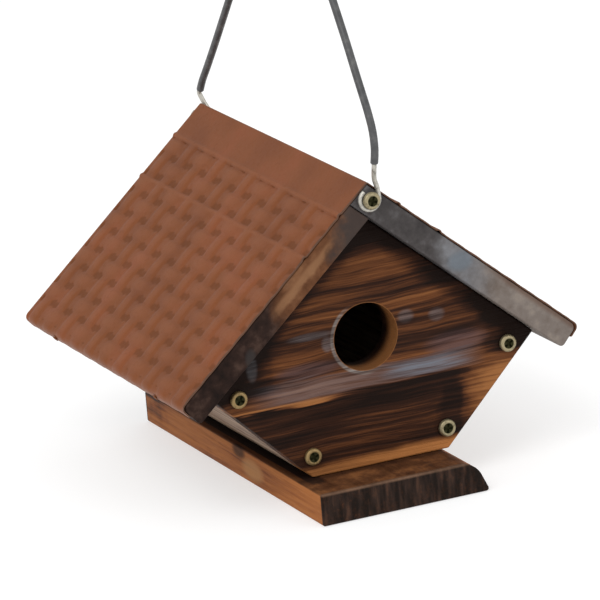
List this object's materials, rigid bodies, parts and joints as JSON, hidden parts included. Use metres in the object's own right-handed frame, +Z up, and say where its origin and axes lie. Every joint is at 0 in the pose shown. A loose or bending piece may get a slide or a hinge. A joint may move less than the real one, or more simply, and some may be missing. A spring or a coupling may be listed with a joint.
{
  "type": "birdhouse",
  "caption": "Hanging wooden birdhouse with a round entrance, a folded sheet-metal roof cover and a sleeved wire hanger that swings on the ridge.",
  "frame": {"origin": "middle of the base board's underside, on the surface that the house stands on", "axes": "+Z up; the entrance faces -Y; +X is on the right of someone who looks at the entrance; the ridge and the hanger's swing axis run along Y"},
  "size_m": [0.2008, 0.2091, 0.2641],
  "materials": {
    "burnt_wood": "torched dark brown with blue-grey streaks, matt",
    "weathered_wood": "torched and greyed wood, matt",
    "orange_wood": "orange-brown stained wood with burnt ends, matt",
    "roof_metal": "embossed copper-brown sheet, satin",
    "screw_metal": "yellow zinc plated, worn",
    "nail_metal": "bright steel",
    "wire_metal": "galvanised wire",
    "sleeve_plastic": "charcoal vinyl sleeve"
  },
  "bodies": {
    "house": {"front_panel": "burnt_wood", "back_panel": "burnt_wood", "left_wall": "weathered_wood", "right_wall": "weathered_wood", "base_board": "orange_wood", "left_roof_board": "weathered_wood", "right_roof_board": "weathered_wood", "roof_cover": "roof_metal", "front_screw_lower_left": "screw_metal", "front_screw_lower_right": "screw_metal", "front_screw_upper_left": "screw_metal", "front_screw_upper_right": "screw_metal", "back_screw_lower_left": "screw_metal", "back_screw_lower_right": "screw_metal", "back_screw_upper_left": "screw_metal", "back_screw_upper_right": "screw_metal", "base_screw_front_left": "screw_metal", "base_screw_front_right": "screw_metal", "base_screw_back_left": "screw_metal", "base_screw_back_right": "screw_metal", "ridge_screw_front": "screw_metal", "ridge_screw_back": "screw_metal", "roof_nail_left_front_upper": "nail_metal", "roof_nail_left_front_lower": "nail_metal", "roof_nail_left_back_upper": "nail_metal", "roof_nail_left_back_lower": "nail_metal", "roof_nail_right_front_upper": "nail_metal", "roof_nail_right_front_lower": "nail_metal", "roof_nail_right_back_upper": "nail_metal", "roof_nail_right_back_lower": "nail_metal", "cover_tack_left_front": "roof_metal", "cover_tack_left_back": "roof_metal", "cover_tack_right_front": "roof_metal", "cover_tack_right_back": "roof_metal"},
    "hanger": {"hanger_sleeve": "sleeve_plastic", "hanger_eye_front": "wire_metal", "hanger_eye_back": "wire_metal"}
  },
  "joints": [
    {"name": "hanger_swing", "type": "hinge", "parent": "house", "child": "hanger", "pos_m": [0, 0, 0.14284], "axis": [0, 1, 0], "range_deg": [-95, 95]}
  ]
}
